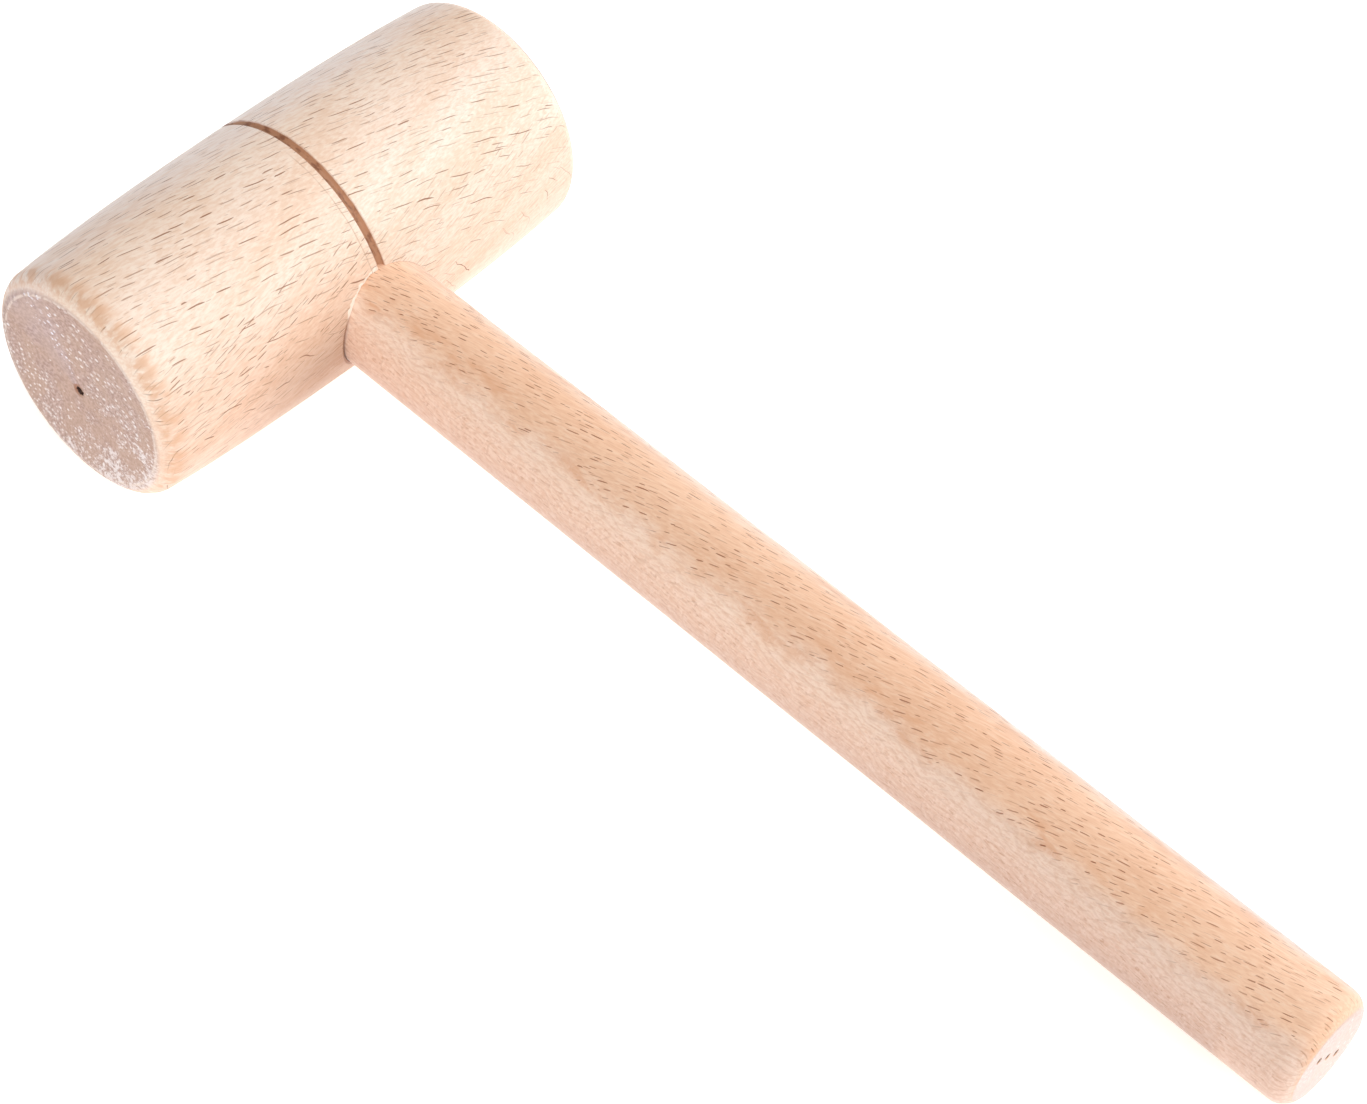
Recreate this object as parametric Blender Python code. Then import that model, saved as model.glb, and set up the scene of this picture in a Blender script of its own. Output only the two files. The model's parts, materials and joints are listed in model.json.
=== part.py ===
"""Round wooden mallet: a turned barrel head on a long turned handle.

The handle's tenon goes right through the eye bored across the head, and a wedge driven
into the tenon's slotted end keeps the head on. The mallet lies on its side, touching the
ground at the middle of its head and at the end of its handle.

Units are metres and +Z is up. The origin is on the ground, in the middle of the
mallet's footprint. +X runs along the head, and +Y from the handle's butt to the head.
"""
import math

import bpy
from mathutils import Vector

# Clearance kept between pieces that touch each other on the real mallet.
GAP = 0.0003

# Head: a barrel, widest in the middle, with rounded ends and a flat striking face on each.
HEAD_HALF_LENGTH = 0.050
HEAD_RADIUS = 0.02375
HEAD_TAPER = 0.042
HEAD_END_TAPER = 0.032
HEAD_ROUND_LENGTH = 0.0035
HEAD_ROUND_HEIGHT = 0.0034
HEAD_SIDES = 64
BARREL_STEPS = 6
ROUND_STEPS = 4

# Score turned around the middle of the head.
GROOVE_OFFSET = 0.0006
GROOVE_WIDTH = 0.0016
GROOVE_DEPTH = 0.0009

# Hole that the lathe's centre leaves in each striking face.
CENTRE_HOLE_RADIUS = 0.0008
CENTRE_HOLE_DEPTH = 0.0030

# Handle: a slightly swelling round bar. Its length is measured from the head's axis.
HANDLE_LENGTH = 0.231
HANDLE_HEAD_RADIUS = 0.0102
HANDLE_MIDDLE_RADIUS = 0.0106
HANDLE_BUTT_RADIUS = 0.0108
HANDLE_ROUND_LENGTH = 0.0033
HANDLE_ROUND_HEIGHT = 0.0022
HANDLE_SIDES = 48
HANDLE_STEPS = 10

# Marks of the lathe's drive centre in the butt: a pin and two prongs in one row.
SPUR_RADIUS = 0.0006
SPUR_DEPTH = 0.0020
SPUR_SPACING = 0.0036
SPUR_ROW_ANGLE = math.radians(37.0)
SPUR_SIDES = 12

# Wedge, and the slot in the tenon that it spreads.
WEDGE_LENGTH = 0.026
WEDGE_HEAD_THICKNESS = 0.0036
WEDGE_TIP_THICKNESS = 0.0010
SLOT_RUN_ON = 0.006

# How far the cutting shapes reach past the wood that they cut.
CUT_MARGIN = 0.004

# Colour of each piece.
NODE_COLOURS = {
    "mallet_head": (0.93, 0.80, 0.65, 1.0),
    "handle": (0.84, 0.66, 0.51, 1.0),
    "wedge": (0.62, 0.42, 0.27, 1.0),
}
WOOD_ROUGHNESS = 0.62


def barrel_radius(along):
    """Radius of the head at a distance along its axis from the middle."""
    share = along / HEAD_HALF_LENGTH
    return HEAD_RADIUS * (1.0 - HEAD_TAPER * share**2 - HEAD_END_TAPER * share**4)


def handle_radius(along):
    """Radius of the handle at a distance from the head's axis towards the butt."""
    share = along / HANDLE_LENGTH
    near = HANDLE_HEAD_RADIUS * (1.0 - share) * (1.0 - 2.0 * share)
    middle = HANDLE_MIDDLE_RADIUS * 4.0 * share * (1.0 - share)
    far = HANDLE_BUTT_RADIUS * share * (2.0 * share - 1.0)
    return near + middle + far


def tenon_radius():
    """Radius of the tenon, which is the handle's own where it enters the head."""
    return handle_radius(HEAD_RADIUS)


def eye_radius():
    """Radius of the eye bored through the head."""
    return tenon_radius() + GAP


def resting_tilt():
    """Angle that the handle drops from the head's axis to lie with its butt on the ground."""
    tilt = 0.0
    for _ in range(8):
        rounding = math.hypot(
            HANDLE_ROUND_LENGTH * math.sin(tilt), HANDLE_ROUND_HEIGHT * math.cos(tilt)
        )
        below = (HANDLE_BUTT_RADIUS - HANDLE_ROUND_HEIGHT) * math.cos(tilt) + rounding
        tilt = math.asin((HEAD_RADIUS - below) / (HANDLE_LENGTH - HANDLE_ROUND_LENGTH))
    return tilt


def centre_of_head(tilt):
    """Middle of the head, placed so that the footprint is centred on the origin."""
    rounding = math.hypot(
        HANDLE_ROUND_LENGTH * math.cos(tilt), HANDLE_ROUND_HEIGHT * math.sin(tilt)
    )
    reach = (
        (HANDLE_LENGTH - HANDLE_ROUND_LENGTH) * math.cos(tilt)
        + (HANDLE_BUTT_RADIUS - HANDLE_ROUND_HEIGHT) * math.sin(tilt)
        + rounding
    )
    return Vector((0.0, (reach - HEAD_RADIUS) / 2.0, HEAD_RADIUS))


def steps(start, end, count):
    """Evenly spaced values from start to end, both included."""
    return [start + (end - start) * i / count for i in range(count + 1)]


def new_object(name, points, edges=(), faces=()):
    """An object in the scene with the given mesh."""
    mesh = bpy.data.meshes.new(name)
    mesh.from_pydata(points, edges, faces)
    thing = bpy.data.objects.new(name, mesh)
    bpy.context.scene.collection.objects.link(thing)
    return thing


def turned(name, profile, sides):
    """A piece turned around local Z from (radius, height) points, given from top to bottom."""
    points = [(radius, 0.0, height) for radius, height in profile]
    edges = [(i, i + 1) for i in range(len(points) - 1)]
    thing = new_object(name, points, edges)
    screw = thing.modifiers.new("turn", "SCREW")
    screw.axis = "Z"
    screw.steps = sides
    screw.render_steps = sides
    screw.use_merge_vertices = True
    screw.merge_threshold = 0.00001
    screw.use_smooth_shade = False
    return thing


def as_cutter(thing):
    """Keep a shape for cutting only."""
    thing.hide_render = True
    thing.display_type = "WIRE"
    return thing


def cut(thing, cutter, operation="DIFFERENCE"):
    """Add a Boolean of the cutter to the thing."""
    boolean = thing.modifiers.new(cutter.name, "BOOLEAN")
    boolean.operation = operation
    boolean.solver = "EXACT"
    boolean.object = cutter


def attach(thing, parent, location=(0.0, 0.0, 0.0), turn=0.0):
    """Place a thing in its parent's axes, turned around its own Z."""
    thing.parent = parent
    thing.location = location
    thing.rotation_euler = (0.0, 0.0, turn)


def make_axis(name, location, rotation):
    """An empty whose local Z is the axis of the pieces attached to it."""
    axis = bpy.data.objects.new(name, None)
    bpy.context.scene.collection.objects.link(axis)
    axis.location = location
    axis.rotation_euler = rotation
    return axis


def paint(thing):
    """Give a piece its own wood and clean shading."""
    material = bpy.data.materials.new(thing.name)
    material.use_nodes = True
    shader = material.node_tree.nodes["Principled BSDF"]
    shader.inputs["Base Color"].default_value = NODE_COLOURS[thing.name]
    shader.inputs["Roughness"].default_value = WOOD_ROUGHNESS
    shader.inputs["Metallic"].default_value = 0.0
    thing.data.materials.append(material)
    thing.data.shade_smooth()
    thing.data.set_sharp_from_angle(angle=math.radians(40.0))


def half_barrel(start):
    """(radius, distance) points of half the head, from the middle out to its centre hole."""
    shoulder = HEAD_HALF_LENGTH - HEAD_ROUND_LENGTH
    points = [(barrel_radius(x), x) for x in steps(start, shoulder, BARREL_STEPS)]
    for turn in steps(0.0, math.pi / 2.0, ROUND_STEPS)[1:]:
        radius = barrel_radius(shoulder) - HEAD_ROUND_HEIGHT * (1.0 - math.cos(turn))
        points.append((radius, shoulder + HEAD_ROUND_LENGTH * math.sin(turn)))
    points.append((CENTRE_HOLE_RADIUS, HEAD_HALF_LENGTH))
    points.append((0.0, HEAD_HALF_LENGTH - CENTRE_HOLE_DEPTH))
    return points


def head_profile():
    """Outline of the head from the far centre hole to the near one."""
    far = half_barrel(GROOVE_OFFSET + GROOVE_WIDTH / 2.0)
    near = half_barrel(GROOVE_WIDTH / 2.0 - GROOVE_OFFSET)
    bottom = (barrel_radius(GROOVE_OFFSET) - GROOVE_DEPTH, GROOVE_OFFSET)
    return far[::-1] + [bottom] + [(radius, -x) for radius, x in near]


def handle_profile():
    """Outline of the handle and its tenon, from beyond the head down to the butt."""
    shoulder = HANDLE_LENGTH - HANDLE_ROUND_LENGTH
    top = HEAD_RADIUS + CUT_MARGIN
    points = [(0.0, top), (tenon_radius(), top)]
    points += [(handle_radius(y), -y) for y in steps(HEAD_RADIUS, shoulder, HANDLE_STEPS)]
    for turn in steps(0.0, math.pi / 2.0, ROUND_STEPS)[1:]:
        radius = handle_radius(shoulder) - HANDLE_ROUND_HEIGHT * (1.0 - math.cos(turn))
        points.append((radius, -shoulder - HANDLE_ROUND_LENGTH * math.sin(turn)))
    points.append((0.0, -HANDLE_LENGTH))
    return points


def tapered_slab(name, top, bottom, top_width, bottom_width, breadth):
    """A slab with trapezoid faces: its thickness lies along X and its breadth along Y."""
    points = []
    for side in (-breadth / 2.0, breadth / 2.0):
        points.append((-bottom_width / 2.0, side, bottom))
        points.append((bottom_width / 2.0, side, bottom))
        points.append((top_width / 2.0, side, top))
        points.append((-top_width / 2.0, side, top))
    faces = [(0, 1, 2, 3), (7, 6, 5, 4), (0, 4, 5, 1), (1, 5, 6, 2), (2, 6, 7, 3), (3, 7, 4, 0)]
    return new_object(name, points, faces=faces)


def wedge_width(height):
    """Thickness of the wedge at a height above the head's axis."""
    drop = (HEAD_RADIUS - height) / WEDGE_LENGTH
    return WEDGE_HEAD_THICKNESS + (WEDGE_TIP_THICKNESS - WEDGE_HEAD_THICKNESS) * drop


def plain_barrel_profile():
    """Outline of the middle of the barrel without its groove, wide enough for the eye."""
    reach = 2.0 * eye_radius()
    points = [(barrel_radius(x), x) for x in steps(reach, -reach, 2 * BARREL_STEPS)]
    return [(0.0, reach)] + points + [(0.0, -reach)]


def make_top_trim(head_axis, handle_axis):
    """Everything above the barrel's surface where the tenon comes out of the head."""
    barrel = turned("barrel_shape", plain_barrel_profile(), HEAD_SIDES)
    attach(barrel, head_axis, turn=math.pi / HEAD_SIDES)
    as_cutter(barrel)
    reach = HEAD_RADIUS + 2.0 * CUT_MARGIN
    side = 2.0 * reach
    trim = tapered_slab("top_trim", reach, 0.0, side, side, side)
    attach(trim, handle_axis)
    cut(trim, barrel)
    return as_cutter(trim)


def round_bar(name, radius, handle_axis):
    """A cutting bar on the handle's axis, longer than the head is thick."""
    reach = HEAD_RADIUS + 2.0 * CUT_MARGIN
    outline = [(0.0, reach), (radius, reach), (radius, -reach), (0.0, -reach)]
    bar = turned(name, outline, HANDLE_SIDES)
    attach(bar, handle_axis, turn=math.pi / HANDLE_SIDES)
    return as_cutter(bar)


def make_head(head_axis, handle_axis):
    """The barrel with its groove, its two centre holes and its eye."""
    head = turned("mallet_head", head_profile(), HEAD_SIDES)
    attach(head, head_axis, turn=math.pi / HEAD_SIDES)
    eye = round_bar("eye", eye_radius(), handle_axis)
    cut(head, eye)
    paint(head)
    return head


def make_handle(handle_axis, top_trim):
    """The handle with its slotted tenon and the lathe's marks in its butt."""
    handle = turned("handle", handle_profile(), HANDLE_SIDES)
    attach(handle, handle_axis, turn=math.pi / HANDLE_SIDES)
    cut(handle, top_trim)
    top = HEAD_RADIUS + 2.0 * CUT_MARGIN
    bottom = HEAD_RADIUS - WEDGE_LENGTH - SLOT_RUN_ON
    mouth = wedge_width(top) + 2.0 * GAP
    root = wedge_width(bottom) + 2.0 * GAP
    slot = tapered_slab("slot", top, bottom, mouth, root, 4.0 * tenon_radius())
    attach(slot, handle_axis)
    cut(handle, as_cutter(slot))
    for place in (-1.0, 0.0, 1.0):
        outline = [
            (0.0, -HANDLE_LENGTH + SPUR_DEPTH),
            (SPUR_RADIUS, -HANDLE_LENGTH),
            (SPUR_RADIUS, -HANDLE_LENGTH - SPUR_DEPTH),
            (0.0, -HANDLE_LENGTH - SPUR_DEPTH),
        ]
        spur = as_cutter(turned("spur_mark", outline, SPUR_SIDES))
        across = place * SPUR_SPACING * math.cos(SPUR_ROW_ANGLE)
        down = place * SPUR_SPACING * math.sin(SPUR_ROW_ANGLE)
        attach(spur, handle_axis, (across, down, 0.0))
        cut(handle, spur)
    paint(handle)
    return handle


def make_wedge(handle_axis, top_trim):
    """The wedge, as broad as the tenon and flush with the head."""
    top = HEAD_RADIUS + CUT_MARGIN
    bottom = HEAD_RADIUS - WEDGE_LENGTH
    breadth = 4.0 * tenon_radius()
    wedge = tapered_slab("wedge", top, bottom, wedge_width(top), wedge_width(bottom), breadth)
    attach(wedge, handle_axis)
    tenon = round_bar("tenon_shape", tenon_radius(), handle_axis)
    cut(wedge, tenon, "INTERSECT")
    cut(wedge, top_trim)
    paint(wedge)
    return wedge


def main():
    for thing in list(bpy.data.objects):
        bpy.data.objects.remove(thing, do_unlink=True)
    tilt = resting_tilt()
    centre = centre_of_head(tilt)
    head_axis = make_axis("head_axis", centre, (0.0, math.pi / 2.0, 0.0))
    handle_axis = make_axis("handle_axis", centre, (tilt - math.pi / 2.0, 0.0, 0.0))
    top_trim = make_top_trim(head_axis, handle_axis)
    make_head(head_axis, handle_axis)
    make_handle(handle_axis, top_trim)
    make_wedge(handle_axis, top_trim)


main()
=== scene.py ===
"""Looks of the round beech mallet: a turned head, its handle and the wedge that holds them."""

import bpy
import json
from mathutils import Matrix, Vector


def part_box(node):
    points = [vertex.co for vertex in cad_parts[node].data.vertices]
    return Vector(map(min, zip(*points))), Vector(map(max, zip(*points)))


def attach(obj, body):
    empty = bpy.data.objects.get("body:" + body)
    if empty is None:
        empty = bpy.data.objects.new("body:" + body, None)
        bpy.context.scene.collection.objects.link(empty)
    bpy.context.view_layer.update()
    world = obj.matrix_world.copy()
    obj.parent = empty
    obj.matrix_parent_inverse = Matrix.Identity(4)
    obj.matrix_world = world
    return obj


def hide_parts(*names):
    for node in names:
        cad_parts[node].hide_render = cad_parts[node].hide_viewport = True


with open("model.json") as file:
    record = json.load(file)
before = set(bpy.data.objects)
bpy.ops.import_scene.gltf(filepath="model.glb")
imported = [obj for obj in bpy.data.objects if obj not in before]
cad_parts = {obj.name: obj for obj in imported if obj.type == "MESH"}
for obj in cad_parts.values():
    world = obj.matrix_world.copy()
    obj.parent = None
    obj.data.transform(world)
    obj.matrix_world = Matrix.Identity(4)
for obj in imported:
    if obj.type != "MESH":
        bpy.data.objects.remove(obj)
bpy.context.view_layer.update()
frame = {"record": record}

import json
import math
from typing import NamedTuple

import bmesh
import bpy
from mathutils import Matrix, Vector, noise

MM = 0.001

# ---------------------------------------------------------------- sizes, in metres
# Every piece is modelled in the mallet's own axes: X along the head, Y up the handle and
# Z square to both. The origin is the middle of the head. The head lies on the ground, so that
# the height of its middle is its radius.
head_low, head_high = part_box("mallet_head")
HEAD_CENTRE = (head_low + head_high) / 2.0
HEAD_HALF = (head_high.x - head_low.x) / 2.0
HEAD_RADIUS = HEAD_CENTRE.z
HEAD_TAPER = 0.042
HEAD_END_TAPER = 0.032
HEAD_ROUND_LENGTH = 3.62 * MM
HEAD_ROUND_HEIGHT = 4.59 * MM
HEAD_ROUND_SWEEP = math.radians(75.0)
HEAD_SHOULDER = HEAD_HALF - HEAD_ROUND_LENGTH * math.sin(HEAD_ROUND_SWEEP)
HEAD_CREASE = math.radians(38.0)

# The lathe-centre hole in each striking face: depths in millimetres and shares of its radius.
HOLE_RADIUS = 1.0 * MM
HOLE_RINGS = ((0.12, 0.93), (0.6, 0.72), (1.5, 0.45), (2.4, 0.2))
HOLE_DEPTH = 2.9 * MM

GROOVE_X = 0.6 * MM
GROOVE_HALF_WIDTH = 0.8 * MM
GROOVE_DEPTH = 0.95 * MM
SCORE_X = -1.55 * MM
SCORE_HALF_WIDTH = 0.16 * MM
SCORE_DEPTH = 0.05 * MM

EYE_RADIUS = 10.29 * MM
EYE_SLACK = 0.42 * MM
EYE_PATCH = 15.0 * MM
EYE_PATCH_ANGLE = math.radians(40.0)
EYE_ROUND = 0.75 * MM
# Angles around the eye in degrees: the middle of a stretch and its reach to either side.
EYE_WORN = (114.0, 30.0)
EYE_LOOSE = (174.0, 44.0)

# The head's mesh: rows along the barrel, first over the groove, then out to the edge of the
# eyes' patches and on to the shoulder. Columns around it, over a patch and between two.
FINE_REACH = 3.0 * MM
FINE_ROWS = 52
PATCH_ROWS = 13
BARREL_ROWS = 32
PATCH_COLUMNS = 64
FLANK_COLUMNS = 80
EYE_ROUND_SHARES = (0.0, 0.12, 0.28, 0.5, 0.75, 1.0)
EYE_RINGS = 9
HEAD_ROUND_ROWS = 14
FACE_ROWS = 16
BORE_ROWS = 6

HANDLE_LENGTH = 231.0 * MM
HANDLE_HEAD_RADIUS = 10.2 * MM
HANDLE_MIDDLE_RADIUS = 10.6 * MM
HANDLE_BUTT_RADIUS = 10.8 * MM
HANDLE_ROUND_LENGTH = 3.51 * MM
HANDLE_ROUND_HEIGHT = 3.35 * MM
HANDLE_ROUND_SWEEP = math.radians(70.0)
HANDLE_SHOULDER = HANDLE_LENGTH - HANDLE_ROUND_LENGTH * math.sin(HANDLE_ROUND_SWEEP)
HANDLE_CREASE = math.radians(32.0)
TENON_EDGE = 0.25 * MM
TENON_INSET = 4.0 * MM
ROOT_INSET = 3.4 * MM

# The handle's mesh. The butt's rings are closer together inside this share of its radius.
HANDLE_COLUMNS = 168
TENON_TOP_SHARES = (0.02, 0.2, 0.4, 0.6, 0.8, 0.93)
TENON_ROWS = 10
GRIP_ROWS = 330
HANDLE_ROUND_ROWS = 10
BUTT_FINE_SHARE = 0.54
BUTT_ROWS = 5
BUTT_FINE_ROWS = 40

# The row of three holes that the lathe's drive centre left in the butt.
SPUR_ROW_ANGLE = math.radians(-37.0)
SPUR_SPACING = 3.6 * MM
SPUR_RADIUS = 0.66 * MM
SPUR_DEPTH = 1.9 * MM

WEDGE_LENGTH = 26.0 * MM
WEDGE_HEAD = 3.6 * MM
WEDGE_TIP = 1.0 * MM
WEDGE_BREADTH = 0.995
WEDGE_BEVEL = 0.985
WEDGE_PROUD = 0.06 * MM
WEDGE_ROWS = 26
WEDGE_COLUMNS = 10
WEDGE_BREADTH_COLUMNS = 48
WEDGE_CREASE = math.radians(40.0)
SLOT_ROOM = 0.06 * MM
SLOT_OVERRUN = 4.0 * MM

WELD_DISTANCE = 0.002 * MM

# ---------------------------------------------------------------- the mallet's own axes
# The handle's slope is that of its butt's axis.
butt_mount = [m for m in frame["record"]["mounts"] if m["name"] == "handle_butt"][0]
TILT = -math.asin(butt_mount["axis"][2])
MALLET_AXES = Matrix.Translation(HEAD_CENTRE) @ Matrix.Rotation(TILT, 4, "X")


def steps(start, end, count):
    """Evenly spaced values from start to end, both included."""
    return [start + (end - start) * i / count for i in range(count + 1)]


def wobble(x, y, z, size):
    """Smooth noise from -1 to 1, whose lumps are about this size."""
    return noise.noise(Vector((x, y, z)) / size)


def link_new(name, data):
    """A new object in the scene."""
    thing = bpy.data.objects.new(name, data)
    bpy.context.scene.collection.objects.link(thing)
    return thing


def weld(mesh):
    """Join points that coincide, and turn all faces outwards."""
    work = bmesh.new()
    work.from_mesh(mesh)
    bmesh.ops.remove_doubles(work, verts=work.verts, dist=WELD_DISTANCE)
    bmesh.ops.recalc_face_normals(work, faces=work.faces)
    work.to_mesh(mesh)
    work.free()


def smooth_shade(mesh, crease):
    """Shade smoothly, except across edges that turn by more than this angle."""
    mesh.shade_smooth()
    mesh.set_sharp_from_angle(angle=crease)


# ---------------------------------------------------------------- head
def barrel_radius(x):
    """The head's even radius at this distance from its middle."""
    share = x / HEAD_HALF
    return HEAD_RADIUS * (1.0 - HEAD_TAPER * share**2 - HEAD_END_TAPER * share**4)


HEAD_RIM = barrel_radius(HEAD_SHOULDER) - HEAD_ROUND_HEIGHT * (1.0 - math.cos(HEAD_ROUND_SWEEP))


def groove_depth(x, angle):
    """Depth of the turned groove, with torn lips and an uneven bottom."""
    y, z = math.cos(angle) * HEAD_RADIUS, math.sin(angle) * HEAD_RADIUS
    tear = wobble(x, y, z, 0.8 * MM)
    wander = 0.10 * MM * wobble(0.0, y, z, 9.0 * MM)
    half = GROOVE_HALF_WIDTH * (1.0 + 0.08 * wobble(5.0, y, z, 1.7 * MM) + 0.05 * tear)
    share = abs(x - GROOVE_X - wander) / half
    if share >= 1.0:
        return 0.0
    floor = 1.0 + 0.12 * wobble(7.0, y, z, 2.5 * MM) + 0.10 * tear
    return GROOVE_DEPTH * floor * (1.0 - share**2.6) ** 0.8


def score_depth(x, angle):
    """A fine scribed line beside the groove, which fades in and out."""
    y, z = math.cos(angle) * HEAD_RADIUS, math.sin(angle) * HEAD_RADIUS
    share = abs(x - SCORE_X - 0.08 * MM * wobble(3.0, y, z, 12.0 * MM)) / SCORE_HALF_WIDTH
    if share >= 1.0:
        return 0.0
    presence = min(1.0, max(0.0, 0.55 + 1.1 * wobble(9.0, y, z, 6.0 * MM)))
    return SCORE_DEPTH * presence * (1.0 - share * share)


def barrel_surface(x, angle):
    """Distance of the head's skin from its axis."""
    y, z = math.cos(angle) * HEAD_RADIUS, math.sin(angle) * HEAD_RADIUS
    uneven = 0.05 * MM * wobble(x, y, z, 30.0 * MM)
    return barrel_radius(x) + uneven - groove_depth(x, angle) - score_depth(x, angle)


def around(x, radius, angle):
    """A point at this distance from the head's axis."""
    return (x, radius * math.cos(angle), radius * math.sin(angle))


def barrel_rows():
    """Places along the barrel: the near end, the stretch with the eyes, and the far end. They
    are close together at the groove and 1 mm apart elsewhere."""
    fine = steps(-FINE_REACH, FINE_REACH, FINE_ROWS)
    near_patch = steps(-EYE_PATCH, -FINE_REACH, PATCH_ROWS)
    far_patch = steps(FINE_REACH, EYE_PATCH, PATCH_ROWS)
    near = steps(-HEAD_SHOULDER, -EYE_PATCH, BARREL_ROWS)
    far = steps(EYE_PATCH, HEAD_SHOULDER, BARREL_ROWS)
    return near, near_patch[:-1] + fine + far_patch[1:], far


class MeshMaker:
    """Collects grids of points, and welds them into one mesh."""

    def __init__(self):
        self.points = []
        self.faces = []

    def grid(self, rows, closed=False):
        """Rows of points, joined by four-sided faces."""
        width = len(rows[0])
        start = len(self.points)
        for row in rows:
            self.points.extend(row)
        spans = width if closed else width - 1
        for r in range(len(rows) - 1):
            for c in range(spans):
                a = start + r * width + c
                b = start + r * width + (c + 1) % width
                self.faces.append((a, b, b + width, a + width))

    def fan(self, ring, tip):
        """A closed ring of points, joined to one point."""
        start = len(self.points)
        self.points.extend(ring)
        self.points.append(tip)
        for c in range(len(ring)):
            self.faces.append((start + c, start + (c + 1) % len(ring), start + len(ring)))

    def build(self, name, crease):
        """One smooth object, placed in the mallet's own axes."""
        mesh = bpy.data.meshes.new(name)
        mesh.from_pydata(self.points, [], self.faces)
        weld(mesh)
        smooth_shade(mesh, crease)
        thing = link_new(name, mesh)
        thing.matrix_world = MALLET_AXES
        return thing


def hole_tear(side, angle):
    """How far the centre hole's edge is torn in or out, as a share of its radius."""
    return 0.30 * wobble(side * 3.0, math.cos(angle), math.sin(angle), 0.45)


def end_rings(side, angles):
    """Rings over one end of the head: the rounding, the flat face and its centre hole."""
    rings = []
    start_radius = barrel_radius(HEAD_SHOULDER)
    for turn in steps(0.0, HEAD_ROUND_SWEEP, HEAD_ROUND_ROWS)[1:]:
        ring = []
        for angle in angles:
            skin = barrel_surface(side * HEAD_SHOULDER, angle) - start_radius
            radius = start_radius - HEAD_ROUND_HEIGHT * (1.0 - math.cos(turn)) + skin
            x = HEAD_SHOULDER + HEAD_ROUND_LENGTH * math.sin(turn)
            ring.append(around(side * x, radius, angle))
        rings.append(ring)
    for share in steps(0.0, 1.0, FACE_ROWS)[1:]:
        radius = HEAD_RIM + (HOLE_RADIUS - HEAD_RIM) * share**0.8
        ring = []
        for angle in angles:
            y, z = math.cos(angle) * radius, math.sin(angle) * radius
            dent = 0.03 * MM * wobble(side, y, z, 7.0 * MM) * min(1.0, share * 4.0)
            ragged = 1.0 + hole_tear(side, angle) * share**6
            ring.append(around(side * (HEAD_HALF - abs(dent)), radius * ragged, angle))
        rings.append(ring)
    for depth, width in HOLE_RINGS:
        ring = []
        for angle in angles:
            radius = HOLE_RADIUS * (width + hole_tear(side, angle) * width)
            ring.append(around(side * (HEAD_HALF - depth * MM), radius, angle))
        rings.append(ring)
    return rings


def bore_angle(x):
    """Angle in degrees, around the bore, of the point that is joined to the patch's side at x."""
    squeeze = EYE_PATCH * math.sqrt(2.0) / EYE_RADIUS - 1.0
    inner = x / (1.0 + squeeze * (x / EYE_PATCH) ** 2)
    return math.degrees(math.acos(inner / EYE_RADIUS))


def eye_angles(patch_rows, patch_angles):
    """Outer boundary of an eye patch and, for each of its points, the bore's matching angle."""
    sides = [(EYE_PATCH, angle, 45.0 * angle / EYE_PATCH_ANGLE) for angle in patch_angles]
    sides += [(x, EYE_PATCH_ANGLE, bore_angle(x)) for x in reversed(patch_rows[1:-1])]
    for angle in reversed(patch_angles):
        sides.append((-EYE_PATCH, angle, 180.0 - 45.0 * angle / EYE_PATCH_ANGLE))
    sides += [(x, -EYE_PATCH_ANGLE, -bore_angle(x)) for x in patch_rows[1:-1]]
    return [(x, angle, math.radians(turn)) for x, angle, turn in sides]


def around_head(middle, angle):
    """Angle around the head, at this angle from the middle of the upper or the lower eye."""
    return angle if middle == 0.0 else middle - angle


def skin_point(x, w, drop, middle):
    """Point of the head's skin at x, w in the eye's plan, sunk by drop, on the side of middle."""
    angle = math.asin(w / barrel_radius(x))
    for _ in range(3):
        radius = barrel_surface(x, around_head(middle, angle)) - drop
        angle = math.asin(max(-1.0, min(1.0, w / radius)))
    y = radius * math.cos(angle)
    return (x, y if middle == 0.0 else -y, w)


def bump(turn, centre, reach):
    """1 at the centre angle, falling to 0 at reach degrees to either side of it."""
    away = abs((math.degrees(turn) - centre + 180.0) % 360.0 - 180.0)
    if away >= reach:
        return 0.0
    return 0.5 + 0.5 * math.cos(math.pi * away / reach)


def eye_rings(sides, middle):
    """Rings from the bore's wall out to the patch's edge."""
    rings = []
    base = EYE_RADIUS + EYE_ROUND
    for share in EYE_ROUND_SHARES:
        ring = []
        for _, _, turn in sides:
            chip = wobble(math.cos(turn), math.sin(turn), middle, 0.055)
            worn = bump(turn, *EYE_WORN)
            size = EYE_ROUND * min(1.0, max(0.12, 0.18 + 0.8 * worn + (0.1 + 0.6 * worn) * chip))
            away = EYE_ROUND * share
            reach = EYE_RADIUS + EYE_SLACK * bump(turn, *EYE_LOOSE) * (1.0 - share) + away
            inside = max(0.0, size - away)
            drop = size - math.sqrt(size * size - inside * inside)
            ring.append(skin_point(reach * math.cos(turn), reach * math.sin(turn), drop, middle))
        rings.append(ring)
    for share in steps(0.0, 1.0, EYE_RINGS)[1:]:
        ring = []
        for x, angle, turn in sides:
            inner_x = base * math.cos(turn)
            inner_angle = math.asin(base * math.sin(turn) / barrel_radius(inner_x))
            at_x = inner_x + (x - inner_x) * share
            at_angle = inner_angle + (angle - inner_angle) * share
            at_angle = around_head(middle, at_angle)
            ring.append(around(at_x, barrel_surface(at_x, at_angle), at_angle))
        rings.append(ring)
    return rings


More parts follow.
